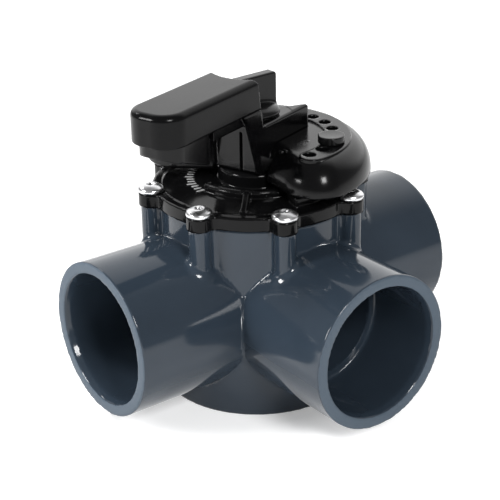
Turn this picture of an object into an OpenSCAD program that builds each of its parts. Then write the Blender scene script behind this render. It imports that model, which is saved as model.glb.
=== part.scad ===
// Three way diverter valve for 2 in pipe, with a stop handle.
// Origin: centre of the flat base. +Z is the stem axis, +X the straight run, -Y the branch port.

/* [Ports] */
// Outside diameter of a port, a fit for 2.5 in fittings
port_od = 73; // [70:0.5:76]
// Socket bore, a fit for 2 in pipe
socket_d = 60.4; // [58:0.1:62]
// Depth of a socket from its mouth
socket_depth = 38; // [30:1:40]
// Distance from the stem axis to a port's mouth
port_reach = 90; // [88:1:110]
// Height of the port axis above the base
port_height = 45.5; // [42:0.5:50]
// Waterway diameter behind the sockets
waterway_d = 53; // [46:1:55]

/* [Chamber] */
// Outside diameter of the chamber
chamber_od = 93.2; // [92:0.2:95]
// Inside diameter of the chamber
chamber_id = 82; // [80:0.5:84]
// Height of the body, from the base to the joint face
body_h = 94.5; // [92:0.5:98]
// Thickness of the chamber floor
floor_t = 6; // [5:0.5:8]

/* [Cover] */
// Diameter of the cover's rim
cover_d = 97; // [95:0.5:100]
// Thickness of the cover's rim
cover_t = 6.5; // [5:0.5:8]
// Number of cover screws
screw_count = 8; // [6:1:8]
// Radius of the screw circle
screw_ring = 50.1; // [49:0.1:51]
// Diameter of a cover lobe
lobe_d = 11.8; // [10:0.2:13]
// Diameter of a screw boss on the body
boss_d = 10; // [9:0.5:11]

/* [Stem] */
// Diameter of the stem where it runs in the cover
stem_d = 18; // [16:0.5:20]
// Width of the square drive on top of the stem
drive_w = 13; // [12:0.5:13.5]

/* [Handle] */
// Direction of the handle's tail from +X, in degrees
rest_angle = 18.4; // [0:0.1:45]
// Reach of the grip from the stem axis
grip_reach = 80.5; // [75:0.5:90]
// Width of the grip
grip_w = 26.6; // [24:0.2:30]
// Height of the grip's top above the base
grip_top = 156; // [154:0.5:160]
// Height of the grip cap
cap_h = 14.7; // [12:0.1:16]
// Reach of the hub's tail from the stem axis
tail_reach = 25.5; // [22:0.5:28]
// Height of the hub's top above the base
hub_top = 133.3; // [132:0.1:134]

/* [Stops] */
// Outside radius of the stop dome
dome_r = 54.3; // [53:0.1:56]
// Height of the dome's flat top above the base
dome_top = 122.3; // [121:0.1:123]
// Height of the dome's rim above the base
dome_rim = 107; // [106.5:0.1:109]
// Half of the dome's arc, in degrees
dome_half = 118; // [112:1:120]
// Radius of the circle of stop holes
hole_ring = 37.1; // [36:0.1:38]
// Angle between two stop holes
hole_pitch = 15; // [12:1:15]
// Stop holes on each side of the tail
holes_a_side = 7; // [5:1:7]
// Hole that each stop pin stands in, counted from the tail
pin_hole = 5; // [4:1:6]

/* [Lock knob] */
// Diameter of the lock knob
knob_d = 24; // [20:0.2:26]
// Height of the knob's wing top above the base
knob_top = 152; // [148:0.5:153]
// Thickness of the knob's wing
wing_t = 5.4; // [4:0.2:7]
// Direction of the wing from the handle's tail, in degrees
wing_angle = -16.4; // [-90:0.1:90]

/* [Hidden] */
$fn = 96;
e = 0.5;
port_dirs = [0, 180, 270];
cover_top = body_h + cover_t;
wall = 2.5;
// cover hub
neck_r = 17.5;
neck_top = 109.7;
collar_r = 30;
collar_t = 4;
collar_top = 106;
collar_from = -182;
collar_to = -15;
cone_foot_r = 43.8;
cone_top_r = 32;
cone_h = 1.5;
bore_clear = 0.06;
lug_half = 12.3;
lug_in = 34;
lug_out = 42;
lug_top = 106;
// screw bosses on the body
boss_foot = 56;
boss_cone = 10;
// seal groove round the chamber mouth
groove_r = 43.5;
groove_z = body_h - 3;
seal_t = 1.3;
plug_r = chamber_id / 2 - 0.2;
plug_bottom = 88.5;
plug_skirt_in = 37;
plug_hub_r = 14;
plug_web = 95;
// screws
screw_r = 2.1;
screw_head_r = 6;
screw_head_h = 4;
screw_tip = 78;
// diverter
disc_top = 86;
disc_t = 3.5;
paddle_r = 39.5;
paddle_half = 46;
paddle_bottom = 10;
pivot_r = 6;
drive_top = 129;
insert_r = 5.5;
insert_bottom = 112.2;
o_ring_z = [99, 105];
o_ring_t = 0.78;
o_ring_r = stem_d / 2 - 0.8;
// handle
cap_bottom = grip_top - cap_h;
cap_fillet = 3;
nose_r = 11;
web_inset = 2.3;
web_end = -46;
web_tail_r = 7;
web_far_z = 136;
web_near_z = 124.2;
hub_bottom = 110.5;
hub_back = -15;
hub_front = 12;
hub_slot_y = 2;
hub_slot_w = 1.2;
hub_slot_h = 18.5;
recess_top_r = 20.2;
recess_draft = 0.1;
deck_t = 3;
grip_screw_x = [-62, -34];
ear_y = 18;
// dome
dome_t = 3;
dome_in = 12;
shoulder_r = 8;
strip_in = 33.2;
strip_out = 44.8;
strip_top = 123.2;
hole_r = 2.9;
// stop pins
pin_head_r = 6.15;
pin_head_h = 3.8;
pin_shank_r = 2.82;
pin_tip_r = 1.65;
pin_tip_z = 104.6;
// lock knob
washer_t = 0.8;
knob_foot = hub_top + washer_t;
flange_z = 135;
bolt_r = 4;
bolt_head_r = 7.2;
bolt_head_h = 2.2;
bolt_tip = 118;

// A ring with a round section, lying flat at height z
module ring(radius, thick, z) {
    translate([0, 0, z]) rotate_extrude() translate([radius, 0]) circle(r = thick, $fn = 32);
}

// A flat ring sector between two radii and two angles
module sector(r_in, r_out, from, to, z, h) {
    translate([0, 0, z]) rotate([0, 0, from])
        rotate_extrude(angle = to - from) translate([r_in, 0]) square([r_out - r_in, h]);
}

// Places its children at every cover screw
module at_screws() {
    for (i = [0 : screw_count - 1])
        rotate([0, 0, (i + 0.5) * 360 / screw_count]) translate([screw_ring, 0, 0]) children();
}

// Turns a port's own axis, +Z, to the port's direction
module at_port(dir) {
    rotate([0, 0, dir]) translate([0, 0, port_height]) rotate([0, 90, 0]) children();
}

// Turns the handle and what rides on it to the rest position
module handle_frame() {
    rotate([0, 0, rest_angle]) children();
}

module valve_body() {
    mouth_chamfer = 3.5;
    socket_r = socket_d / 2;
    color("slategray") difference() {
        union() {
            cylinder(d = chamber_od, h = body_h);
            for (dir = port_dirs) at_port(dir) cylinder(d = port_od, h = port_reach);
            at_screws() translate([0, 0, boss_foot]) {
                cylinder(d1 = boss_d / 2, d2 = boss_d, h = boss_cone);
                translate([0, 0, boss_cone]) cylinder(d = boss_d, h = body_h - boss_foot - boss_cone);
            }
        }
        translate([0, 0, floor_t]) cylinder(d = chamber_id, h = body_h);
        translate([0, 0, groove_z]) cylinder(r = groove_r, h = 10);
        translate([0, 0, floor_t - 3]) cylinder(r = pivot_r + bore_clear, h = 10);
        for (dir = port_dirs) at_port(dir) {
            cylinder(d = waterway_d, h = port_reach);
            translate([0, 0, port_reach - socket_depth]) cylinder(r = socket_r, h = socket_depth + e);
            translate([0, 0, port_reach - mouth_chamfer])
                cylinder(r1 = socket_r, r2 = socket_r + 1.15, h = mouth_chamfer + e);
        }
        at_screws() translate([0, 0, screw_tip - 1]) cylinder(r = screw_r + 0.02, h = 40);
    }
}

// One radial gusset between the collar and the rim
module cover_rib(dir) {
    rib_t = 3;
    rotate([0, 0, dir]) rotate([90, 0, 0]) translate([0, 0, -rib_t / 2]) linear_extrude(rib_t)
        polygon([[28, cover_top - 1], [28, collar_top - 0.2], [31, collar_top - 0.2],
                 [43, cover_top + 0.6], [43, cover_top - 1]]);
}

// Raised marks of the position scale, on the cone behind the collar
module scale_marks() {
    for (i = [0 : 12])
        rotate([0, 0, 108 + 5.8 * i]) translate([29, -0.45, cover_top])
            cube([i % 3 == 0 ? 4.4 : 3.2, 0.9, cone_h + 0.4]);
}

module cover() {
    color("#1c1d1f") difference() {
        union() {
            rotate_extrude() polygon([
                [0, plug_bottom], [plug_hub_r, plug_bottom], [plug_hub_r, plug_web],
                [plug_skirt_in, plug_web], [plug_skirt_in, plug_bottom],
                [plug_r, plug_bottom], [plug_r, body_h], [cover_d / 2, body_h],
                [cover_d / 2, cover_top - 0.5], [cover_d / 2 - 0.5, cover_top],
                [cone_foot_r, cover_top], [cone_top_r, cover_top + cone_h],
                [neck_r + 1, cover_top + cone_h], [neck_r, cover_top + cone_h + 1],
                [neck_r, neck_top - 1], [neck_r - 1, neck_top], [0, neck_top]
            ]);
            at_screws() translate([0, 0, body_h]) cylinder(d = lobe_d, h = cover_t);
            sector(collar_r - collar_t, collar_r, collar_from, collar_to,
                   cover_top - 1, collar_top - cover_top + 1);
            sector(lug_in, lug_out, -90 - lug_half, -90 + lug_half, cover_top - 1, lug_top - cover_top + 1);
            cover_rib(225);
            cover_rib(315);
            scale_marks();
        }
        cylinder(d = stem_d + 2 * bore_clear, h = 200);
        at_screws() cylinder(r = screw_r + 0.2, h = 200);
    }
}

module cover_seal() {
    color("black") ring((groove_r + plug_r) / 2, seal_t, groove_z + 1.5);
}

// One dome-headed screw, with its head on the cover's top
module cover_screw() {
    translate([0, 0, screw_tip]) cylinder(r = screw_r, h = cover_top - screw_tip + 1);
    translate([0, 0, cover_top]) difference() {
        union() {
            cylinder(r = screw_head_r, h = 1);
            translate([0, 0, 1]) intersection() {
                cylinder(r = screw_head_r - 0.6, h = screw_head_h - 1);
                translate([0, 0, -6.1]) sphere(r = 9.1);
            }
        }
        for (a = [0, 90]) rotate([0, 0, a]) translate([-2.6, -0.6, screw_head_h - 2]) cube([5.2, 1.2, 4]);
    }
}

module cover_screws() {
    color("silver") at_screws() cover_screw();
}

module thrust_washer() {
    color("ivory") translate([0, 0, disc_top]) difference() {
        cylinder(r = plug_hub_r, h = 2.2);
        cylinder(r = stem_d / 2 + 0.2, h = 9, center = true);
    }
}

module stem_o_ring_lower() {
    color("black") ring(o_ring_r, o_ring_t, o_ring_z[0]);
}

module stem_o_ring_upper() {
    color("black") ring(o_ring_r, o_ring_t, o_ring_z[1]);
}

// The closing member and its stem, one moulding
module diverter() {
    disc_r = 38;
    color("dimgray") handle_frame() difference() {
        union() {
            translate([0, 0, disc_top - disc_t]) cylinder(r = disc_r, h = disc_t);
            sector(12, disc_r, 180 - paddle_half, 180 + paddle_half, paddle_bottom, disc_t);
            translate([0, 0, paddle_bottom]) cylinder(r = 14, h = disc_t);
            translate([0, 0, floor_t - 2.6]) cylinder(r = pivot_r, h = 8);
            sector(paddle_r - 3, paddle_r, 180 - paddle_half, 180 + paddle_half,
                   paddle_bottom, disc_top - paddle_bottom);
            translate([-paddle_r + 2, -1.5, paddle_bottom]) cube([14, 3, disc_top - paddle_bottom]);
            translate([0, 0, disc_top - 1]) cylinder(d = stem_d, h = hub_bottom - disc_top + 1);
            translate([0, 0, (hub_bottom - e + drive_top) / 2])
                cube([drive_w, drive_w, drive_top - hub_bottom + e], center = true);
        }
        for (z = o_ring_z) translate([0, 0, z - 1]) difference() {
            cylinder(r = stem_d, h = 2);
            cylinder(r = stem_d / 2 - 1.6, h = 9, center = true);
        }
        translate([0, 0, insert_bottom]) cylinder(r = insert_r, h = 40);
    }
}

module diverter_seal() {
    pad_half = 43;
    pad_h = 63;
    color("black") handle_frame()
        sector(paddle_r + 0.02, chamber_id / 2 - 0.3, 180 - pad_half, 180 + pad_half,
               paddle_bottom + 4, pad_h);
}

module stem_insert() {
    color("goldenrod") translate([0, 0, insert_bottom]) difference() {
        cylinder(r = insert_r, h = drive_top - insert_bottom);
        cylinder(r = bolt_r + 0.05, h = 99, center = true);
    }
}

// Points along an arc
function arc(cx, cy, r, from, to, steps) =
    [for (i = [0 : steps]) let (a = from + (to - from) * i / steps) [cx + r * cos(a), cy + r * sin(a)]];

// The grip's plan, drawn in by an inset, with round corners at its inner end
module grip_plan(inset, back, tail_r = 0.5) {
    half = grip_w / 2 - inset;
    r = nose_r - inset;
    cx = -grip_reach + inset + r;
    polygon(concat(arc(cx, half - r, r, 90, 180, 10), arc(cx, r - half, r, 180, 270, 10),
                   arc(back - tail_r, tail_r - half, tail_r, 270, 360, 6),
                   arc(back - tail_r, half - tail_r, tail_r, 0, 90, 6)));
}

// The round recess that leaves room for the lock knob
module knob_recess() {
    depth = grip_top - hub_top;
    foot_r = recess_top_r - depth * recess_draft;
    translate([0, 0, hub_top]) cylinder(r1 = foot_r, r2 = recess_top_r, h = depth);
    translate([0, 0, grip_top - 0.01]) cylinder(r = recess_top_r, h = 5);
}

// The grip's lower channel, its underside falling towards the hub
module grip_web() {
    far = -grip_reach + web_inset;
    difference() {
        translate([0, 0, hub_bottom]) linear_extrude(cap_bottom - hub_bottom)
            grip_plan(web_inset, web_end, web_tail_r);
        translate([0, 0, hub_bottom - 1]) linear_extrude(cap_bottom - deck_t - hub_bottom + 1)
            grip_plan(web_inset + wall, web_end - wall, web_tail_r - wall);
        rotate([90, 0, 0]) translate([0, 0, -50]) linear_extrude(100)
            polygon([[far - 5, web_far_z + 2], [far, web_far_z], [web_end + 1, web_near_z],
                     [web_end + 1, 90], [far - 5, 90]]);
    }
}

// The hub's side cheeks, which carry the grip and end in the tail
module cheeks() {
    for (s = [-1, 1]) translate([0, s * (grip_w / 2 - wall / 2), 0]) rotate([90, 0, 0])
        translate([0, 0, -wall / 2]) linear_extrude(wall)
            polygon([[hub_back, hub_bottom], [tail_reach, hub_bottom], [tail_reach, hub_top],
                     [-10, hub_top], [-10, cap_bottom], [-27, cap_bottom], [-23.5, web_far_z]]);
}

// The hub's tail between the cheeks, which ends in a wide notch
module tail_fill() {
    half = grip_w / 2 - 0.5;
    translate([0, 0, hub_bottom]) linear_extrude(hub_top - hub_bottom)
        for (s = [-1, 1])
            polygon([[hub_front - 1, 0], [hub_front + 0.5, 0], [19.3, 7.3 * s], [23.6, 10.1 * s],
                     [tail_reach, half * s], [hub_front - 1, half * s]]);
}

module handle_body() {
    color("#161719") handle_frame() difference() {
        union() {
            grip_web();
            cheeks();
            translate([web_end - 1, wall - grip_w / 2, cap_bottom - deck_t - 2])
                cube([-10 - web_end, grip_w - 2 * wall, deck_t + 2]);
            translate([hub_back, 0.5 - grip_w / 2, hub_bottom])
                cube([hub_front - hub_back, grip_w - 1, hub_top - hub_bottom]);
            tail_fill();
            for (s = [-1, 1]) translate([-7, s * ear_y - 6, dome_top - dome_t - 3]) cube([14, 12, 3]);
        }
        knob_recess();
        translate([hub_back - 1, hub_slot_y, hub_bottom - e]) cube([2.5, hub_slot_w, hub_slot_h + e]);
        translate([0, 0, (hub_bottom - e + drive_top + 0.2) / 2])
            cube([drive_w + 0.06, drive_w + 0.06, drive_top - hub_bottom + e + 0.2], center = true);
        cylinder(r = bolt_r + 0.4, h = 200);
        for (s = [-1, 1]) translate([0, s * ear_y, 100]) cylinder(r = 1.6, h = 30);
        for (x = grip_screw_x) translate([x, 0, 120]) cylinder(r = 1.6, h = 30);
    }
}

module grip_cap() {
    skin = 2.4;
    color("#303134") handle_frame() difference() {
        hull() {
            translate([0, 0, cap_bottom]) linear_extrude(cap_h - cap_fillet) grip_plan(0, -8);
            translate([0, 0, grip_top - 0.9]) linear_extrude(0.1) grip_plan(0.9, -8);
            translate([0, 0, grip_top - 0.1]) linear_extrude(0.1) grip_plan(cap_fillet, -8);
        }
        difference() {
            translate([0, 0, cap_bottom - e]) linear_extrude(cap_h - skin + e) grip_plan(skin + 0.5, -25);
            for (x = grip_screw_x) translate([x, 0, 100]) cylinder(r = 4, h = 60);
        }
        knob_recess();
        for (x = grip_screw_x) translate([x, 0, 120]) cylinder(r = 1.45, h = 32);
    }
}

// A small pan-head screw, its head hanging below z = 0
module small_screw(length) {
    cylinder(r = 1.42, h = length);
    difference() {
        translate([0, 0, -2]) cylinder(r = 3, h = 2);
        for (a = [0, 90]) rotate([0, 0, a]) translate([-1.6, -0.4, -3]) cube([3.2, 0.8, 2]);
    }
}

module grip_screws() {
    color("silver") handle_frame() {
        translate([grip_screw_x[0], 0, cap_bottom - deck_t]) small_screw(11);
        translate([grip_screw_x[1], 0, cap_bottom - deck_t - 2]) small_screw(13);
    }
}

// Half section of the dome, at a depth below its outer skin, down to the given height
module dome_section(depth, bottom) {
    r = shoulder_r - depth;
    x = dome_r - shoulder_r;
    z = dome_top - shoulder_r;
    polygon(concat([[dome_in, bottom], [dome_r - depth, bottom]], arc(x, z, r, 0, 90, 8),
                   [[dome_in, dome_top - depth]]));
}

// A sector of the dome about the tail, turned from its half section
module dome_turn(half) {
    rotate([0, 0, -half]) rotate_extrude(angle = 2 * half) children();
}

module stop_dome() {
    end_t = 4;
    strip_half = holes_a_side * hole_pitch - 0.5;
    strip_h = strip_top - dome_top + e;
    color("#1a1b1d") handle_frame() difference() {
        union() {
            difference() {
                dome_turn(dome_half) dome_section(0, dome_rim);
                dome_turn(dome_half - end_t) dome_section(dome_t, dome_rim - 1);
                translate([0, 0, dome_rim - 1])
                    cylinder(r = neck_r + 2, h = dome_top - dome_t - dome_rim + 1);
            }
            sector(strip_in, strip_out, -strip_half, strip_half, dome_top - e, strip_h);
            for (s = [-1, 1]) rotate([0, 0, s * strip_half])
                translate([(strip_in + strip_out) / 2, 0, dome_top - e])
                    cylinder(d = strip_out - strip_in, h = strip_h);
        }
        translate([-30, -grip_w / 2 - 0.05, 100]) cube([30 + tail_reach + 0.05, grip_w + 0.1, 40]);
        for (k = [-holes_a_side : holes_a_side])
            rotate([0, 0, k * hole_pitch]) translate([hole_ring, 0, 110]) cylinder(r = hole_r, h = 20);
        for (s = [-1, 1]) translate([0, s * ear_y, 110]) cylinder(r = 1.45, h = dome_top - 110 - 0.8);
    }
}

module dome_screws() {
    color("silver") handle_frame() for (s = [-1, 1])
        translate([0, s * ear_y, dome_top - dome_t - 3]) small_screw(5);
}

// A headed pin that stands in a stop hole and reaches down to the cover's lug
module stop_pin(side) {
    shank_bottom = dome_top - dome_t - 1;
    color("#2a2b2d") handle_frame()
        rotate([0, 0, side * pin_hole * hole_pitch]) translate([hole_ring, 0, 0]) {
            translate([0, 0, strip_top]) cylinder(r = pin_head_r, h = pin_head_h - 0.5);
            translate([0, 0, strip_top + pin_head_h - 0.5])
                cylinder(r1 = pin_head_r, r2 = pin_head_r - 0.5, h = 0.5);
            translate([0, 0, shank_bottom]) cylinder(r = pin_shank_r, h = strip_top - shank_bottom + e);
            translate([0, 0, pin_tip_z]) cylinder(r = pin_tip_r, h = shank_bottom - pin_tip_z + e);
        }
}

module stop_pin_front() {
    stop_pin(-1);
}

module stop_pin_back() {
    stop_pin(1);
}

module lock_washer() {
    color("silver") translate([0, 0, hub_top]) difference() {
        cylinder(r = 8, h = washer_t);
        cylinder(r = bolt_r + 0.3, h = 9, center = true);
    }
}

// The bolt's hexagon head, which the knob is moulded over
module bolt_head() {
    translate([0, 0, flange_z]) cylinder(r = bolt_head_r, h = bolt_head_h, $fn = 6);
}

module lock_knob() {
    wing_l = 23.2;
    flange_h = 3.6;
    color("#1a1b1d") handle_frame() difference() {
        union() {
            translate([0, 0, knob_foot]) cylinder(r = 9, h = flange_z - knob_foot + e);
            translate([0, 0, flange_z]) cylinder(d = knob_d, h = flange_h - 1);
            translate([0, 0, flange_z + flange_h - 1]) cylinder(d1 = knob_d, d2 = knob_d - 4, h = 1.6);
            rotate([0, 0, wing_angle]) translate([-wing_l / 2, -wing_t / 2, flange_z + 1])
                cube([wing_l, wing_t, knob_top - flange_z - 1]);
        }
        translate([0, 0, 100]) cylinder(r = bolt_r, h = flange_z + e - 100);
        bolt_head();
    }
}

module lock_bolt() {
    color("silver") handle_frame() {
        translate([0, 0, bolt_tip]) cylinder(r = bolt_r, h = flange_z + e - bolt_tip);
        bolt_head();
    }
}

valve_body();
cover();
cover_seal();
cover_screws();
thrust_washer();
stem_o_ring_lower();
stem_o_ring_upper();
diverter();
diverter_seal();
stem_insert();
handle_body();
grip_cap();
grip_screws();
stop_dome();
dome_screws();
stop_pin_front();
stop_pin_back();
lock_washer();
lock_knob();
lock_bolt();
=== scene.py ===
"""Three way diverter valve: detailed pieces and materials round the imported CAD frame."""
import math

import bpy
import numpy as np
from mathutils import Matrix, Vector

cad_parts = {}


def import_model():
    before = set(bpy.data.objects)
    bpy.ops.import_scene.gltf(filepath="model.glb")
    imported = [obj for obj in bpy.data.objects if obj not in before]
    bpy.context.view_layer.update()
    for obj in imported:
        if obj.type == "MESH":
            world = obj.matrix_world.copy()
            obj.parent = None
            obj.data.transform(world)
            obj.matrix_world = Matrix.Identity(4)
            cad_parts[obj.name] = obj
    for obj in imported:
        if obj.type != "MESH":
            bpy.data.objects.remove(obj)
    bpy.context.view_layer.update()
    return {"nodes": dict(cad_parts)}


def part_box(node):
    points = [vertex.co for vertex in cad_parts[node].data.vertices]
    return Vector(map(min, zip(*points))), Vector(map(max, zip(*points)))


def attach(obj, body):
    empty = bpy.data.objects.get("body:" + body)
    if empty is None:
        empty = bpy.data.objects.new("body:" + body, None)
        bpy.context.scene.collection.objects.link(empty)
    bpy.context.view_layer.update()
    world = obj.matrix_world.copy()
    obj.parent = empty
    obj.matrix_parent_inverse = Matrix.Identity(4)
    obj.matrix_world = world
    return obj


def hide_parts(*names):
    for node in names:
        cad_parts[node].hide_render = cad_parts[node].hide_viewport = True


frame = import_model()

MM = 0.001

# ---------------------------------------------------------------- sizes, in mm and degrees
# These are the CAD's own sizes, except for the ones that say that they belong to the visual model.
REST_ANGLE = 18.4  # direction of the handle's tail from +X
PORT_R = 36.5
PORT_REACH = 90.0
PORT_Z = 45.5
SOCKET_R = 30.2
SOCKET_DEPTH = 38.0
WATERWAY_R = 26.5
MOUTH_CHAMFER = 3.5
MOUTH_CHAMFER_R = 1.15
CHAMBER_R = 46.6
CHAMBER_IN = 41.0
BODY_H = 94.5
SEAL_POCKET_R = 43.5
SEAL_POCKET_H = 3.0
FLOOR_T = 6.0
SCREW_COUNT = 8
SCREW_RING = 50.1
SCREW_LENGTH = 23.0
BOSS_R = 5.0
BOSS_FOOT = 56.0
BOSS_TAPER_H = 10.0
COVER_R = 48.5
COVER_TOP = 101.0
CONE_FOOT_R = 43.8
CONE_TOP_R = 32.0
CONE_RISE = 1.5
MARK_RISE = 1.9
MARK_IN = 29.0
LOBE_R = 5.9
PLUG_R = 40.8
PLUG_BOTTOM = 88.5
STEM_R = 9.0
STEM_CLEAR = 0.06
NECK_R = 17.5
NECK_TOP = 109.7
COLLAR_R = 29.5  # visual model: the CAD has 30
COLLAR_T = 4.0
COLLAR_TOP = 106.0
COLLAR_FROM = -182.0
COLLAR_TO = -15.0
LUG_IN = 34.0
LUG_OUT = 42.0
LUG_HALF = 12.3
RIB_DIRECTIONS = (225, 315)
GRIP_REACH = 80.5
GRIP_HALF = 13.3
GRIP_TOP = 156.0
GRIP_SCREWS = (-62.0, -34.0)
GRIP_POST_R = 4.0
CAP_BOTTOM = 141.3
NOSE_R = 11.0
WALL = 2.5
DECK_T = 3.0
WEB_INSET = 2.3
WEB_END = -46.0
WEB_TAIL_R = 7.0
WEB_FAR_Z = 136.0
WEB_NEAR_Z = 124.2
RECESS_TOP_R = 20.2
RECESS_DRAFT = 0.1
HUB_BOTTOM = 110.5
HUB_TOP = 133.3
HUB_BACK = -15.0
HUB_FRONT = 12.5  # where the notch in its tail is deepest
TAIL_REACH = 25.5
SLOT_ACROSS = -2.8  # visual model: the CAD has the slot at 2.6
SLOT_H = 18.5
EAR_ACROSS = 18.0
EAR_T = 3.0
DRIVE_TOP = 129.0
DRIVE_HALF = 6.5
DRIVE_CLEAR = 0.03
BOLT_R = 4.0
DOME_R = 54.3
DOME_IN = 12.0
DOME_TOP = 122.3
DOME_RIM = 107.0
DOME_HALF = 118.0
DOME_END = 4.0  # visual model: how far each end stands beyond its radial plane
DOME_WALL = 3.0
SHOULDER_R = 11.0  # visual model, as are the next two
SHOULDER_H = 15.0
END_CORNER_R = 20.0
STRIP_IN = 33.2
STRIP_OUT = 44.8
STRIP_TOP = 123.2
HOLE_RING = 37.1
HOLE_PITCH = 15.0
HOLE_R = 2.9
HOLES_A_SIDE = 7
PIN_HOLE = 5
PIN_HEAD_R = 6.15
PIN_HEAD_H = 3.8
PIN_TIP_Z = 104.6
PIN_SHANK_R = 2.82
PIN_TIP_R = 1.65
KNOB_FOOT = 134.1
KNOB_TOP = 152.0
KNOB_R = 12.0
KNOB_CROWN_TOP = 139.3  # visual model, as is the next
KNOB_CROWN_R = 26.0
FLANGE_Z = 135.0
WING_HALF = 11.6
WING_HALF_T = 2.7
WING_ANGLE = -16.4


# ---------------------------------------------------------------- distances, in mm
# A shape is a function of x, y and z arrays. It gives the signed distance to its surface, below 0 inside.
def slab(t, low, high):
    """What lies between two values."""
    return np.maximum(low - t, t - high)


def corner_of(a, b, radius):
    """Distance to a corner of the given radius, from the distances to its two sides."""
    a, b = a + radius, b + radius
    return np.minimum(np.maximum(a, b), 0) + np.hypot(np.maximum(a, 0), np.maximum(b, 0)) - radius


def both(a, b, edge=0.0):
    """What lies inside a and b, its outer edge rounded to the given radius."""
    return corner_of(a, b, edge) if edge else np.maximum(a, b)


def join(a, b, fillet=0.0):
    """What lies inside a or b, with a fillet of the given radius where they meet."""
    return -both(-a, -b, fillet)


def cut(a, b, edge=0.0):
    """What lies inside a and outside b."""
    return both(a, -b, edge)


def turned(x, y, degrees):
    """The same point in axes turned about Z."""
    c, s = math.cos(math.radians(degrees)), math.sin(math.radians(degrees))
    return x * c + y * s, y * c - x * s


def spoke(x, y, count, first):
    """Place along and across the nearest of count equal spokes, the first of them at an angle."""
    step = 2 * math.pi / count
    angle = np.arctan2(y, x) - math.radians(first)
    angle = angle - step * np.round(angle / step)
    r = np.hypot(x, y)
    return r * np.cos(angle), r * np.sin(angle)


def rectangle(u, v, half_u, half_v, corner=0.0):
    """A rectangle about the origin, with round corners."""
    return corner_of(np.abs(u) - half_u, np.abs(v) - half_v, corner)


def polygon(u, v, points):
    """Distance to a closed outline, by its nearest edge."""
    best = np.full(np.shape(u), 1e9)
    inside = np.zeros(np.shape(u), bool)
    for (ax, ay), (bx, by) in zip(points, points[1:] + points[:1]):
        ex, ey = bx - ax, by - ay
        wx, wy = u - ax, v - ay
        t = np.clip((wx * ex + wy * ey) / (ex * ex + ey * ey), 0, 1)
        best = np.minimum(best, (wx - ex * t) ** 2 + (wy - ey * t) ** 2)
        crosses = (ay > v) != (by > v)
        if ey:
            inside ^= crosses & (u < ax + ex * (v - ay) / ey)
    return np.where(inside, -1, 1) * np.sqrt(best)


def lathe(x, y, z, points):
    """An outline of radius and height, turned about Z."""
    return polygon(np.hypot(x, y), z, points)


def sector(x, y, middle, half):
    """Below 0 within half an angle either side of a direction, for halves up to 180 degrees."""
    u, v = turned(x, y, middle)
    v = np.abs(v)
    c, s = math.cos(math.radians(half)), math.sin(math.radians(half))
    return v * c - u * s


# ---------------------------------------------------------------- meshes from distances
def field(shape, axes):
    """The shape's distances on a grid, worked out only near its surface."""
    block = 8
    counts = [-(-len(a) // block) for a in axes]
    step = axes[0][1] - axes[0][0]
    middles = [a[0] + step * (block * np.arange(n) + (block - 1) / 2) for a, n in zip(axes, counts)]
    coarse = shape(*np.meshgrid(*middles, indexing="ij"))
    reach = step * block * 0.9
    near = np.abs(coarse) < reach
    for axis in range(3):
        near = near.repeat(block, axis)
        coarse = coarse.repeat(block, axis)
    size = tuple(slice(0, len(a)) for a in axes)
    near, values = near[size], coarse[size].copy()
    i, j, k = np.nonzero(near)
    values[near] = shape(axes[0][i], axes[1][j], axes[2][k])
    return values


def slopes(shape, p, h):
    """The direction in which the distance grows, at each point."""
    corners = np.array([[1, -1, -1], [-1, -1, 1], [-1, 1, -1], [1, 1, 1]], float)
    g = sum(c * shape(*(p + h * c).T)[:, None] for c in corners)
    return g / np.maximum(np.linalg.norm(g, axis=1, keepdims=True), 1e-9)


def crossings(shape, values, axes, axis):
    """Grid edges along an axis that cross the surface: their low corners, the points and the way out."""
    step = axes[0][1] - axes[0][0]
    low = [slice(None)] * 3
    high = [slice(None)] * 3
    low[axis], high[axis] = slice(0, -1), slice(1, None)
    a, b = values[tuple(low)], values[tuple(high)]
    corner = np.argwhere((a < 0) != (b < 0))
    va, vb = a[tuple(corner.T)], b[tuple(corner.T)]
    base = np.stack([ax[corner[:, n]] for n, ax in enumerate(axes)], 1)
    lo, hi = np.zeros(len(base)), np.ones(len(base))
    flo, fhi = va, vb
    for _ in range(3):
        t = np.clip(lo + (hi - lo) * flo / (flo - fhi), lo, hi)
        p = base.copy()
        p[:, axis] += t * step
        f = shape(*p.T)
        left = (f < 0) == (flo < 0)
        lo, flo = np.where(left, t, lo), np.where(left, f, flo)
        hi, fhi = np.where(left, hi, t), np.where(left, fhi, f)
    return corner, p, va < 0


def settle(points, normals, slot, count, cell):
    """One vertex for each grid cell, moved towards the tangent planes of the crossings round that cell."""
    def total(weights):
        return np.bincount(slot, weights, count)

    pull_to_middle = 0.05
    crossed = total(np.ones(len(slot)))
    middle = np.stack([total(points[:, n]) for n in range(3)], 1) / crossed[:, None]
    offset = np.einsum("ij,ij->i", normals, points - middle[slot])
    matrix = np.empty((count, 3, 3))
    right = np.empty((count, 3))
    for i in range(3):
        right[:, i] = total(normals[:, i] * offset)
        for j in range(3):
            matrix[:, i, j] = total(normals[:, i] * normals[:, j])
    matrix += pull_to_middle * np.eye(3)
    move = np.linalg.solve(matrix, right[:, :, None])[:, :, 0]
    return middle + np.clip(move, -cell, cell)


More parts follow.
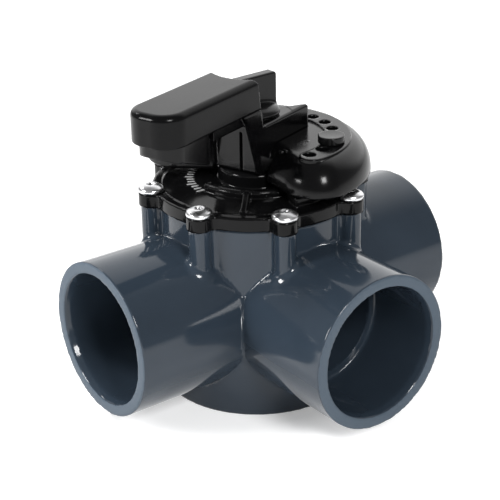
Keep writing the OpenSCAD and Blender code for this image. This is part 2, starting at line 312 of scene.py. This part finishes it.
def dual_mesh(shape, low, high, cell):
    """A quad mesh of the surface where the distance is 0: one vertex per grid cell, sharp edges kept."""
    axes = [np.arange(a - 1.5 * cell, b + 2.5 * cell, cell) for a, b in zip(low, high)]
    values = field(shape, axes)
    dims = np.array(values.shape) - 1
    cells, points, normals, quads = [], [], [], []
    for axis in range(3):
        corner, p, outward = crossings(shape, values, axes, axis)
        n = slopes(shape, p, 0.02)
        one, two = [(1, 2), (2, 0), (0, 1)][axis]
        around = []
        for da, db in ((0, 0), (1, 0), (1, 1), (0, 1)):
            c = corner.copy()
            c[:, one] -= da
            c[:, two] -= db
            around.append((c[:, 0] * dims[1] + c[:, 1]) * dims[2] + c[:, 2])
        ring = np.stack(around, 1)
        quads.append(np.where(outward[:, None], ring, ring[:, ::-1]))
        cells.append(ring.T.ravel())
        points.append(np.tile(p, (4, 1)))
        normals.append(np.tile(n, (4, 1)))
    used, slot = np.unique(np.concatenate(cells), return_inverse=True)
    quads = np.searchsorted(used, np.concatenate(quads))
    vertices = settle(np.concatenate(points), np.concatenate(normals), slot, len(used), cell)
    origin = np.array([a[0] for a in axes])
    home = np.stack(np.unravel_index(used, dims), 1)
    return np.clip(vertices, origin + home * cell, origin + (home + 1) * cell), quads


def sculpt(name, shape, low, high, cell, soft=0.25):
    """A Blender object of a shape given by its distances, with normals taken from the distances too."""
    points, quads = dual_mesh(shape, low, high, cell)
    mesh = bpy.data.meshes.new(name)
    mesh.from_pydata((points * MM).tolist(), [], quads.tolist())
    mesh.update()
    piece = bpy.data.objects.new(name, mesh)
    bpy.context.scene.collection.objects.link(piece)
    mesh.shade_smooth()
    place = np.empty(len(mesh.vertices) * 3)
    mesh.vertices.foreach_get("co", place)
    place = place.reshape(-1, 3) / MM
    mesh.normals_split_custom_set_from_vertices(slopes(shape, place, soft).tolist())
    return piece


# ---------------------------------------------------------------- the fixed half
def boss(x, y, z):
    """The screw bosses, which taper off at their feet."""
    u, v = spoke(x, y, SCREW_COUNT, 180 / SCREW_COUNT)
    radius = BOSS_R * np.clip(0.5 + 0.5 * (z - BOSS_FOOT) / BOSS_TAPER_H, 0.5, 1)
    return np.maximum(np.hypot(u - SCREW_RING, v) - radius, slab(z, BOSS_FOOT, BODY_H))


def port_outside(along, across, z):
    """One port's tube, from the valve's axis to its mouth."""
    rim = 0.7
    tube = np.hypot(across, z - PORT_Z) - PORT_R
    return both(tube, slab(along, 0, PORT_REACH), rim)


def port_inside(along, across, z):
    """One port's pipe socket, with its chamfered mouth, and the waterway behind it."""
    rho = np.hypot(across, z - PORT_Z)
    mouth = along - (PORT_REACH - MOUTH_CHAMFER)
    socket = rho - SOCKET_R - np.maximum(mouth, 0) * MOUTH_CHAMFER_R / MOUTH_CHAMFER
    waterway = np.maximum(rho - WATERWAY_R, -along)
    return join(waterway, both(socket, PORT_REACH - SOCKET_DEPTH - along, 0.4))


def valve_body(x, y, z):
    """The chamber, its three ports and the bosses, less the hollow inside."""
    r = np.hypot(x, y)
    chamber = both(r - CHAMBER_R, slab(z, 0, BODY_H), 0.8)
    ports = ((x, y), (-x, y), (-y, x))  # along +X, -X and -Y
    solid = chamber
    for u, v in ports:
        solid = np.minimum(solid, port_outside(u, v, z))
    solid = join(solid, boss(x, y, z), 3.0)
    solid = np.maximum(solid, z - BODY_H)
    hollow = both(r - CHAMBER_IN, FLOOR_T - z, 1.5)
    hollow = np.minimum(hollow, np.maximum(r - SEAL_POCKET_R, BODY_H - SEAL_POCKET_H - z))
    for u, v in ports:
        hollow = join(hollow, port_inside(u, v, z), 0.6)
    return cut(solid, hollow, 0.6)


def scale_marks(x, y, z):
    """Raised marks of the position scale, every third one longer."""
    first, step, last = math.radians(108), math.radians(5.8), 12
    number = np.clip(np.round((np.mod(np.arctan2(y, x), 2 * math.pi) - first) / step), 0, last)
    angle = first + step * number
    along = x * np.cos(angle) + y * np.sin(angle)
    across = y * np.cos(angle) - x * np.sin(angle)
    half = np.where(np.mod(number, 3) == 0, 2.2, 1.6)
    mark = rectangle(along - MARK_IN - half, across, half, 0.45, 0.2)
    return both(mark, slab(z, COVER_TOP, COVER_TOP + MARK_RISE), 0.2)


def gusset(x, y, z, direction):
    """A radial rib between the collar and the rim."""
    along, across = turned(x, y, direction)
    profile = polygon(along, z, [(28, COVER_TOP), (28, COLLAR_TOP - 0.3), (31, COLLAR_TOP - 0.3),
                                 (43, COVER_TOP + 0.4), (43, COVER_TOP)])
    return both(profile, np.abs(across) - 1.5, 0.5)


def cover(x, y, z):
    """The lobed cover with its cone, neck, collar, ribs, stop lug, position scale and plug."""
    r = np.hypot(x, y)
    u, v = spoke(x, y, SCREW_COUNT, 180 / SCREW_COUNT)
    plan = join(r - COVER_R, np.hypot(u - SCREW_RING, v) - LOBE_R, 3.0)
    rim = both(plan, slab(z, BODY_H, COVER_TOP), 0.7)
    cone = lathe(x, y, z, [(0, COVER_TOP - 1), (CONE_FOOT_R, COVER_TOP - 1), (CONE_FOOT_R, COVER_TOP),
                           (CONE_TOP_R, COVER_TOP + CONE_RISE), (0, COVER_TOP + CONE_RISE)])
    neck = both(r - NECK_R, z - NECK_TOP, 1.5)
    solid = join(join(rim, cone, 0.8), np.maximum(neck, COVER_TOP - z), 1.2)
    ring = both(slab(r, COLLAR_R - COLLAR_T, COLLAR_R), slab(z, COVER_TOP, COLLAR_TOP), 1.0)
    ring = both(ring, sector(x, y, (COLLAR_FROM + COLLAR_TO) / 2, (COLLAR_TO - COLLAR_FROM) / 2), 1.5)
    solid = join(solid, ring, 0.3)
    for direction in RIB_DIRECTIONS:
        solid = join(solid, gusset(x, y, z, direction), 0.8)
    lug = both(slab(r, LUG_IN, LUG_OUT), sector(x, y, -90, LUG_HALF), 0.8)
    lug = both(lug, slab(z, COVER_TOP, COLLAR_TOP), 0.7)
    solid = join(solid, lug, 0.8)
    plug = both(r - PLUG_R, slab(z, PLUG_BOTTOM, COVER_TOP - 1), 0.5)
    solid = np.minimum(join(solid, scale_marks(x, y, z), 0.3), plug)
    return cut(solid, r - STEM_R - STEM_CLEAR, 0.3)


def ball(r, z, top, radius):
    """A ball on the axis, by its top."""
    return np.sqrt(r * r + (z - top + radius) ** 2) - radius


def dish(r, z, bottom, radius):
    """A ball on the axis, by its bottom, to hollow out a top with."""
    return np.sqrt(r * r + (z - bottom - radius) ** 2) - radius


def screw(x, y, z):
    """One dome-headed screw about its own axis, its head standing on z = 0."""
    r = np.hypot(x, y)
    head_r, head_h, shank_r = 6.0, 4.0, 2.1
    head = both(both(r - head_r, slab(z, 0, head_h), 0.6), ball(r, z, head_h, 9.1), 0.5)
    head = cut(head, dish(r, z, 3.3, 6.0), 0.6)
    cross = np.minimum(rectangle(x, y, 1.7, 0.4, 0.2), rectangle(x, y, 0.4, 1.7, 0.2))
    head = cut(head, np.maximum(cross, 2.0 - z), 0.15)
    return np.minimum(head, both(r - shank_r, slab(z, -SCREW_LENGTH, 1), 0.4))


# ---------------------------------------------------------------- the handle, in its own axes
# +X points along the tail and -X along the grip.
def in_handle(shape):
    """A shape drawn in the handle's axes, placed in the part's frame."""
    def placed(x, y, z):
        u, v = turned(x, y, REST_ANGLE)
        return shape(u, v, z)
    return placed


def grip_plan(u, v, inset, back, tail_r=0.0):
    """The grip's outline from above: a bar with a rounded nose, its other end cut off at back."""
    half, corner = GRIP_HALF - inset, NOSE_R - inset
    nose = corner_of(-u - (GRIP_REACH - inset), np.abs(v) - half, corner)
    return both(nose, u - back, tail_r)


def knob_recess(u, v, z):
    """The cone that leaves room for the lock knob, widest at the top."""
    return np.hypot(u, v) - (RECESS_TOP_R - (GRIP_TOP - z) * RECESS_DRAFT)


def grip_cap(u, v, z):
    """The hollow upper half of the grip, with a post for each screw."""
    skin, skin_top = 2.9, 2.4
    outline = grip_plan(u, v, 0, -8)
    body = both(outline, z - GRIP_TOP, 3.0)
    body = both(body, CAP_BOTTOM - z, 0.8)
    body = cut(body, np.maximum(knob_recess(u, v, z), HUB_TOP - z), 0.8)
    inside = np.maximum(grip_plan(u, v, skin, -25), z - (GRIP_TOP - skin_top))
    posts = np.minimum(*[np.hypot(u - place, v) for place in GRIP_SCREWS]) - GRIP_POST_R
    return cut(body, cut(inside, posts), 0.3)


def handle_web(u, v, z):
    """The hollow lower half of the grip, cut off underneath by a slope."""
    far, near = -GRIP_REACH + WEB_INSET, WEB_END + 1
    drawn_in = 1.2  # visual model: how much further back the nose stands than the sides
    under = polygon(u, z, [(far - 5, WEB_FAR_Z + 2), (far, WEB_FAR_Z), (near, WEB_NEAR_Z), (near, 90),
                           (far - 5, 90)])
    web = grip_plan(u - drawn_in, v, WEB_INSET, WEB_END - drawn_in, WEB_TAIL_R)
    web = np.maximum(web, slab(z, HUB_BOTTOM, CAP_BOTTOM))
    web = cut(web, under, 0.6)
    hollow = grip_plan(u - drawn_in, v, WEB_INSET + WALL, WEB_END - WALL - drawn_in, WEB_TAIL_R - WALL)
    return cut(web, np.maximum(hollow, z - (CAP_BOTTOM - DECK_T)), 0.3)


def handle_hub(u, v, z):
    """The block round the stem. Its plan ends in a wide notch between its two tips."""
    notch = [(16, 3.8), (19.3, 7.3), (23.6, 10.1), (TAIL_REACH, 12.2)]
    plan = polygon(u, np.abs(v), [(HUB_BACK, -1), (HUB_FRONT - 1, -1), (HUB_FRONT, 0)] + notch
                   + [(TAIL_REACH, GRIP_HALF), (HUB_BACK, GRIP_HALF)])
    hub = both(both(plan, z - HUB_TOP, 1.5), HUB_BOTTOM - z, 0.5)
    slot = np.maximum(rectangle(u - HUB_BACK, v - SLOT_ACROSS, 1.5, 0.6), z - HUB_BOTTOM - SLOT_H)
    return cut(hub, slot, 0.15)


def handle_body(u, v, z):
    """The grip's lower half, the hub and the cheeks between them, with ears for the dome."""
    side = polygon(u, z, [(HUB_BACK, HUB_BOTTOM), (-10, HUB_BOTTOM), (-10, CAP_BOTTOM),
                          (-27, CAP_BOTTOM), (-23.5, WEB_FAR_Z)])
    cheeks = both(side, slab(np.abs(v), GRIP_HALF - WALL, GRIP_HALF), 0.6)
    deck = np.maximum(slab(u, WEB_END - 1, -11), np.abs(v) - 10.9)
    deck = np.maximum(deck, slab(z, CAP_BOTTOM - 5, CAP_BOTTOM))
    solid = join(handle_web(u, v, z), deck, 0.5)
    solid = join(solid, np.minimum(cheeks, handle_hub(u, v, z)), 0.5)
    ears = rectangle(u, np.abs(v) - EAR_ACROSS, 7, 6, 1)
    ears = np.maximum(ears, slab(z, DOME_TOP - DOME_WALL - EAR_T, DOME_TOP - DOME_WALL))
    solid = np.minimum(solid, ears)
    solid = cut(solid, np.maximum(knob_recess(u, v, z), HUB_TOP - z), 0.4)
    drive = rectangle(u, v, DRIVE_HALF + DRIVE_CLEAR, DRIVE_HALF + DRIVE_CLEAR)
    solid = cut(solid, np.maximum(drive, z - DRIVE_TOP - 0.2))
    return cut(solid, np.hypot(u, v) - BOLT_R - 0.4, 0.3)


def stop_dome(u, v, z):
    """The half-moon dome: a hollow shell, a raised strip round it and the row of stop holes."""
    r = np.hypot(u, v)
    angle = np.arctan2(v, u)
    ends = sector(u, v, 0, DOME_HALF) - DOME_END
    # heights are scaled so that the shoulder, SHOULDER_R wide and SHOULDER_H high, comes out as a circle
    squash = SHOULDER_R / SHOULDER_H
    fall = (z - DOME_TOP) * squash
    shell = both(both(r - DOME_R, ends, END_CORNER_R), fall, SHOULDER_R)
    inner = both(r - DOME_R + DOME_WALL, ends + DOME_WALL, END_CORNER_R - DOME_WALL)
    inner = both(inner, fall + DOME_WALL * squash, SHOULDER_R - DOME_WALL)
    shell = cut(both(shell, np.maximum(DOME_RIM - z, DOME_IN - r), 0.6), inner, 0.5)
    shell = cut(shell, np.maximum(r - NECK_R - 2, z - DOME_TOP + DOME_WALL))
    middle, width = (STRIP_IN + STRIP_OUT) / 2, (STRIP_OUT - STRIP_IN) / 2
    strip_half = math.radians(HOLES_A_SIDE * HOLE_PITCH - 0.5)
    held = np.clip(angle, -strip_half, strip_half)
    strip = np.hypot(u - middle * np.cos(held), v - middle * np.sin(held)) - width
    shell = np.minimum(shell, both(strip, slab(z, DOME_TOP - 2.5, STRIP_TOP), 0.25))
    gap, back = 0.05, 30.0
    room = rectangle(u - (TAIL_REACH - back) / 2, v, (TAIL_REACH + back) / 2 + gap, GRIP_HALF + gap)
    shell = cut(shell, room, 0.5)
    pitch = math.radians(HOLE_PITCH)
    nearest = np.clip(np.round(angle / pitch), -HOLES_A_SIDE, HOLES_A_SIDE) * pitch
    holes = np.hypot(u - HOLE_RING * np.cos(nearest), v - HOLE_RING * np.sin(nearest)) - HOLE_R
    return join(cut(shell, holes, 0.4), dome_marks(u, v, z), 0.2)


def dome_marks(u, v, z):
    """Plain raised bars on the dome's flat, three at each of two places."""
    ring, apart = 24.5, 2.2
    marks = []
    for middle in (-112, -80):
        along, across = turned(u, v, middle)
        across = across - apart * np.clip(np.round(across / apart), -1, 1)
        marks.append(rectangle(along - ring, across, 1.8, 0.5, 0.3))
    return both(np.minimum(*marks), slab(z, DOME_TOP - 0.5, DOME_TOP + 0.4), 0.2)


def stop_pin(x, y, z):
    """A stop pin about its own axis."""
    r = np.hypot(x, y)
    top = STRIP_TOP + PIN_HEAD_H
    head = both(r - PIN_HEAD_R, slab(z, STRIP_TOP, top), 0.6)
    head = cut(head, dish(r, z, top - 0.2, 60.0), 0.5)
    shank = both(r - PIN_SHANK_R, slab(z, DOME_TOP - 4, STRIP_TOP + 1), 0.3)
    tip = both(r - PIN_TIP_R, slab(z, PIN_TIP_Z, DOME_TOP), 0.4)
    return join(join(head, shank), tip, 0.4)


def lock_knob(u, v, z):
    """The wing knob, with a pocket for the bolt's head and a bore for its shank."""
    bolt_flat, bolt_head_h = 6.24, 2.2
    r = np.hypot(u, v)
    flange = both(both(r - KNOB_R, ball(r, z, KNOB_CROWN_TOP, KNOB_CROWN_R), 1.2), KNOB_FOOT - z, 0.6)
    along, across = turned(u, v, WING_ANGLE)
    middle, half = (KNOB_TOP + FLANGE_Z) / 2, (KNOB_TOP - FLANGE_Z) / 2
    wing = both(rectangle(along, z - middle, WING_HALF, half, 1.6), np.abs(across) - WING_HALF_T, 0.8)
    solid = join(flange, np.maximum(wing, FLANGE_Z + 0.5 - z), 1.5)
    hexagon = spoke(u, v, 6, 30)[0] - bolt_flat
    pocket = np.maximum(hexagon, slab(z, FLANGE_Z, FLANGE_Z + bolt_head_h))
    return cut(solid, np.minimum(pocket, np.maximum(r - BOLT_R, z - FLANGE_Z - 0.5)))


# ---------------------------------------------------------------- nodes
# Each function here adds a node to a material's tree and gives the socket with its result.
def put(tree, value, socket):
    """Sets a socket to a number or a colour, or links another node's result to it."""
    if isinstance(value, bpy.types.NodeSocket):
        tree.links.new(value, socket)
    elif isinstance(value, tuple):
        socket.default_value = (*value, 1)
    else:
        socket.default_value = value


def noise(tree, place, scale, detail):
    node = tree.nodes.new("ShaderNodeTexNoise")
    node.inputs["Scale"].default_value = scale
    node.inputs["Detail"].default_value = detail
    tree.links.new(place, node.inputs["Vector"])
    return node.outputs["Fac"]


def spread(tree, value, low, high, to_low, to_high):
    """Takes a value from one range to another, and holds it at the ends."""
    node = tree.nodes.new("ShaderNodeMapRange")
    for key, number in (("From Min", low), ("From Max", high), ("To Min", to_low), ("To Max", to_high)):
        node.inputs[key].default_value = number
    tree.links.new(value, node.inputs["Value"])
    return node.outputs["Result"]


def mix(tree, factor, a, b):
    """Colour a where the factor is 0 and colour b where it is 1."""
    node = tree.nodes.new("ShaderNodeMix")
    node.data_type = "RGBA"
    put(tree, factor, node.inputs["Factor"])
    put(tree, a, node.inputs["A"])
    put(tree, b, node.inputs["B"])
    return node.outputs["Result"]


def maths(tree, operation, *values):
    """A sum or other operation on numbers or results."""
    node = tree.nodes.new("ShaderNodeMath")
    node.operation = operation
    for socket, value in zip(node.inputs, values):
        put(tree, value, socket)
    return node.outputs["Value"]


def split(tree, place):
    """The three coordinates of a place."""
    node = tree.nodes.new("ShaderNodeSeparateXYZ")
    tree.links.new(place, node.inputs["Vector"])
    return [node.outputs[axis] for axis in "XYZ"]


def port_mouths(tree, place):
    """1 on the end faces of the three ports and 0 elsewhere."""
    x, y, _ = split(tree, place)
    run = maths(tree, "ABSOLUTE", x)
    branch = maths(tree, "MULTIPLY", y, -1.0)
    reach = maths(tree, "MAXIMUM", run, branch)
    return maths(tree, "GREATER_THAN", reach, (PORT_REACH - 0.15) * MM)


def mark_tops(tree, place):
    """1 on top of the position scale's marks and 0 elsewhere."""
    x, y, z = split(tree, place)
    top = COVER_TOP + MARK_RISE
    square = maths(tree, "ADD", maths(tree, "MULTIPLY", x, x), maths(tree, "MULTIPLY", y, y))
    radius = maths(tree, "POWER", square, 0.5)
    outer = maths(tree, "GREATER_THAN", radius, (MARK_IN - 1) * MM)
    behind = maths(tree, "GREATER_THAN", y, 0.0)
    above = maths(tree, "GREATER_THAN", z, (top - 0.3) * MM)
    below = maths(tree, "LESS_THAN", z, (top + 0.1) * MM)
    band = maths(tree, "MULTIPLY", above, below)
    return maths(tree, "MULTIPLY", band, maths(tree, "MULTIPLY", behind, outer))


# ---------------------------------------------------------------- materials
def node_material(name, colour, roughness, speckle=0.06, bump=0.03, wear=0.3, metal=0.0, gloss=0.5,
                  sawn=None, painted_glint=None):
    """A moulded or machined surface: colour variation, fine grain, wear on its edges and uneven gloss.

    sawn is the colour of the three port mouths, which are paler and duller than the moulded skin. The
    last argument is a pale colour painted on the tops of the position scale's marks, a painted
    highlight that stands in for their glints.
    """
    ior, grain, grain_height, sawn_roughness = 1.5, 900.0, 0.0003, 0.55
    material = bpy.data.materials.new(name)
    material.use_nodes = True
    tree = material.node_tree
    shader = tree.nodes["Principled BSDF"]
    shader.inputs["Metallic"].default_value = metal
    shader.inputs["IOR"].default_value = ior
    shader.inputs["Specular IOR Level"].default_value = gloss
    place = tree.nodes.new("ShaderNodeTexCoord").outputs["Object"]

    dark = tuple(c * (1 - speckle * 2) for c in colour)
    light = tuple(min(1, c * (1 + speckle * 2) + speckle * 0.01) for c in colour)
    worn = tuple(min(1, c * 1.5 + 0.03) for c in colour)
    base = mix(tree, spread(tree, noise(tree, place, 28.0, 3.0), 0.35, 0.65, 0, 1), dark, light)
    sharpness = tree.nodes.new("ShaderNodeNewGeometry").outputs["Pointiness"]
    base = mix(tree, spread(tree, sharpness, 0.53, 0.6, 0, wear), base, worn)
    patchy = noise(tree, place, 60.0, 4.0)
    patchy = spread(tree, patchy, 0.3, 0.7, roughness * 0.85, roughness * 1.15)
    if sawn:
        mouth = port_mouths(tree, place)
        base = mix(tree, mouth, base, sawn)
        patchy = maths(tree, "MAXIMUM", patchy, spread(tree, mouth, 0, 1, 0, sawn_roughness))
    # painted highlight: the tops of the scale's marks get a pale colour in place of their glints
    if painted_glint:
        base = mix(tree, mark_tops(tree, place), base, painted_glint)
    tree.links.new(base, shader.inputs["Base Color"])
    tree.links.new(patchy, shader.inputs["Roughness"])

    relief = tree.nodes.new("ShaderNodeBump")
    relief.inputs["Strength"].default_value = bump
    relief.inputs["Distance"].default_value = grain_height
    tree.links.new(noise(tree, place, grain, 2.0), relief.inputs["Height"])
    tree.links.new(relief.outputs["Normal"], shader.inputs["Normal"])
    return material


def dress(piece, material):
    """Gives a piece one material in place of any it had."""
    piece.data.materials.clear()
    piece.data.materials.append(material)


PVC = node_material("grey_pvc", (0.0187, 0.027, 0.038), 0.1,
                    speckle=0.03, bump=0.02, wear=0.15, gloss=0.3, sawn=(0.043, 0.061, 0.082))
# the pale colour given for the scale's mark tops is a painted highlight in place of their glints
COVER_BLACK = node_material("cover_black", (0.0022, 0.0022, 0.0024), 0.12,
                            wear=0.1, gloss=0.13, painted_glint=(0.22, 0.22, 0.22))
HANDLE_BLACK = node_material("handle_black", (0.0012, 0.0012, 0.0014), 0.18, wear=0.1, gloss=0.17)
GRIP_BLACK = node_material("grip_black", (0.002, 0.002, 0.0022), 0.2, bump=0.05, wear=0.1, gloss=0.1)
KNOB_BLACK = node_material("knob_black", (0.004, 0.004, 0.0042), 0.2, bump=0.04, wear=0.2, gloss=0.2)
INNER_GREY = node_material("diverter_grey", (0.01, 0.012, 0.015), 0.3, bump=0.05, gloss=0.3)
WASHER_WHITE = node_material("washer_white", (0.7, 0.7, 0.66), 0.4)
RUBBER = node_material("seal_rubber", (0.012, 0.012, 0.012), 0.6, bump=0.1)
STEEL = node_material("stainless", (0.62, 0.62, 0.63), 0.26, speckle=0.02, bump=0.02, metal=1.0, wear=0.1)
BRASS = node_material("brass", (0.6, 0.42, 0.16), 0.25, speckle=0.03, metal=1.0)

# The nodes that keep their CAD meshes
CAD_MATERIALS = {
    "cover_seal": RUBBER,
    "diverter": INNER_GREY,
    "diverter_seal": RUBBER,
    "dome_screws": STEEL,
    "grip_screws": STEEL,
    "lock_bolt": STEEL,
    "lock_washer": STEEL,
    "stem_insert": BRASS,
    "stem_o_ring_lower": RUBBER,
    "stem_o_ring_upper": RUBBER,
    "thrust_washer": WASHER_WHITE,
}
for node, material in CAD_MATERIALS.items():
    dress(frame["nodes"][node], material)


# ---------------------------------------------------------------- pieces
def stand_for(piece, node, body, material):
    """Has a visual piece ride on a body and stand in for a CAD node."""
    dress(piece, material)
    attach(piece, body)
    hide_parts(node)


def build(node, shape, cell, body, material):
    """Meshes a shape within its CAD node's box, on a grid of the given cell in mm."""
    low, high = ([c / MM for c in corner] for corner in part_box(node))
    stand_for(sculpt(node + "_look", shape, low, high, cell), node, body, material)


def moved(shape, px, py):
    """A shape drawn about its own axis, placed at a point."""
    return lambda x, y, z: shape(x - px, y - py, z)


def cover_screws():
    """All the screws as one object. Each is turned a little further than the last."""
    one = sculpt("screw_head", screw, (-6, -6, -SCREW_LENGTH), (6, 6, 4), 0.35)
    screws = []
    for i in range(SCREW_COUNT):
        copy = one.copy()
        copy.data = one.data.copy()
        bpy.context.scene.collection.objects.link(copy)
        direction = 2 * math.pi * (i + 0.5) / SCREW_COUNT
        spot = Vector((SCREW_RING * math.cos(direction), SCREW_RING * math.sin(direction), COVER_TOP))
        copy.data.transform(Matrix.Translation(spot * MM) @ Matrix.Rotation(2.4 * i, 4, "Z"))
        screws.append(copy)
    bpy.data.objects.remove(one)
    with bpy.context.temp_override(active_object=screws[0], selected_editable_objects=screws,
                                   selected_objects=screws):
        bpy.ops.object.join()
    screws[0].name = "cover_screws_look"
    return screws[0]


build("valve_body", valve_body, 1.25, "root", PVC)
build("cover", cover, 0.7, "root", COVER_BLACK)
build("grip_cap", in_handle(grip_cap), 0.6, "rotor", GRIP_BLACK)
build("handle_body", in_handle(handle_body), 0.5, "rotor", HANDLE_BLACK)
build("stop_dome", in_handle(stop_dome), 0.7, "rotor", HANDLE_BLACK)
build("lock_knob", in_handle(lock_knob), 0.4, "knob", KNOB_BLACK)
for side, name in ((-1, "front"), (1, "back")):
    direction = math.radians(REST_ANGLE + side * PIN_HOLE * HOLE_PITCH)
    pin = moved(stop_pin, HOLE_RING * math.cos(direction), HOLE_RING * math.sin(direction))
    build("stop_pin_" + name, pin, 0.4, "pin_" + name, KNOB_BLACK)
stand_for(cover_screws(), "cover_screws", "root", STEEL)


# ---------------------------------------------------------------- floor, lights and camera
def stage():
    """A plain pale floor, 6 m square, with a little light of its own."""
    half = 3.0
    corners = [(-half, -half, 0), (half, -half, 0), (half, half, 0), (-half, half, 0)]
    mesh = bpy.data.meshes.new("floor")
    mesh.from_pydata(corners, [], [(0, 1, 2, 3)])
    floor = bpy.data.objects.new("floor", mesh)
    bpy.context.scene.collection.objects.link(floor)
    material = bpy.data.materials.new("floor")
    material.use_nodes = True
    shader = material.node_tree.nodes["Principled BSDF"]
    shader.inputs["Base Color"].default_value = (0.85, 0.85, 0.85, 1)
    shader.inputs["Roughness"].default_value = 0.9
    shader.inputs["Specular IOR Level"].default_value = 0.0
    shader.inputs["Emission Color"].default_value = (1, 1, 1, 1)
    shader.inputs["Emission Strength"].default_value = 0.3
    floor.data.materials.append(material)


def direction_of(azimuth, elevation):
    """The unit vector of a direction, in degrees from +X and above the floor."""
    a, e = math.radians(azimuth), math.radians(elevation)
    return Vector((math.cos(a) * math.cos(e), math.sin(a) * math.cos(e), math.sin(e)))


def lamp(name, azimuth, elevation, distance, size, radiance, mirrored=True):
    """A soft box that faces the valve from a direction. Its distance and size are in metres.

    One that isn't mirrored lights the valve and the floor but doesn't show in glossy surfaces.
    """
    aim = Vector((0, 0, 0.08))
    way = direction_of(azimuth, elevation)
    data = bpy.data.lights.new(name, "AREA")
    data.shape = "RECTANGLE"
    data.size, data.size_y = size
    data.energy = radiance * math.pi * size[0] * size[1]
    light = bpy.data.objects.new(name, data)
    light.location = aim + way * distance
    light.visible_glossy = mirrored
    light.rotation_euler = way.to_track_quat("Z", "Y").to_euler()
    bpy.context.scene.collection.objects.link(light)


def world(azimuth, elevation, bright, dim):
    """A dim room with one broad bright wall in a given direction.

    Heights count double in the wall's outline, so that it is wide and low.
    """
    room = bpy.data.worlds.new("room")
    bpy.context.scene.world = room
    room.use_nodes = True
    nodes, links = room.node_tree.nodes, room.node_tree.links
    way = nodes.new("ShaderNodeTexCoord")
    flat = nodes.new("ShaderNodeVectorMath")
    flat.operation = "MULTIPLY"
    flat.inputs[1].default_value = (1, 1, 2)
    links.new(way.outputs["Generated"], flat.inputs[0])
    unit = nodes.new("ShaderNodeVectorMath")
    unit.operation = "NORMALIZE"
    links.new(flat.outputs["Vector"], unit.inputs[0])
    toward = nodes.new("ShaderNodeVectorMath")
    toward.operation = "DOT_PRODUCT"
    toward.inputs[1].default_value = direction_of(azimuth, elevation)
    links.new(unit.outputs["Vector"], toward.inputs[0])
    fade = nodes.new("ShaderNodeMapRange")
    fade.interpolation_type = "SMOOTHSTEP"
    for key, number in (("From Min", 0.58), ("From Max", 0.85), ("To Min", dim), ("To Max", bright)):
        fade.inputs[key].default_value = number
    links.new(toward.outputs["Value"], fade.inputs["Value"])
    links.new(fade.outputs["Result"], nodes["Background"].inputs["Strength"])
    nodes["Background"].inputs["Color"].default_value = (1, 1, 1, 1)


def lights():
    """Two boxes that make the paired glints on the dome, one for the back, a key light and the room."""
    world(azimuth=42, elevation=32, bright=1.7, dim=0.3)
    lamp("left_box", 164, 23, 1.0, (0.25, 0.28), 38)
    lamp("right_box", -103, 33, 1.0, (0.25, 0.28), 38)
    lamp("branch_box", 108, 38, 1.0, (0.14, 0.14), 14)
    lamp("key", 143, 50, 1.2, (0.24, 0.24), 50, mirrored=False)
    bpy.context.scene.view_settings.view_transform = "Standard"


def camera():
    """The camera that a fit to the valve's own circles gives, in degrees and mm."""
    azimuth, elevation, roll = (math.radians(a) for a in (-36.95, 24.16, -1.12))
    target, distance = Vector((7.14, 14.73, 57.11)) * MM, 693.71 * MM
    back = Vector((math.sin(azimuth) * math.cos(elevation), -math.cos(azimuth) * math.cos(elevation),
                   math.sin(elevation)))
    right = Vector((math.cos(azimuth), math.sin(azimuth), 0))
    up = back.cross(right)
    across = right * math.cos(roll) + up * math.sin(roll)
    above = up * math.cos(roll) - right * math.sin(roll)
    data = bpy.data.cameras.new("camera")
    data.sensor_width = 36
    data.lens = 100.93
    item = bpy.data.objects.new("camera", data)
    turn = Matrix((across, above, back)).transposed().to_4x4()
    item.matrix_world = Matrix.Translation(target + back * distance) @ turn
    bpy.context.scene.collection.objects.link(item)
    bpy.context.scene.camera = item


stage()
lights()
camera()
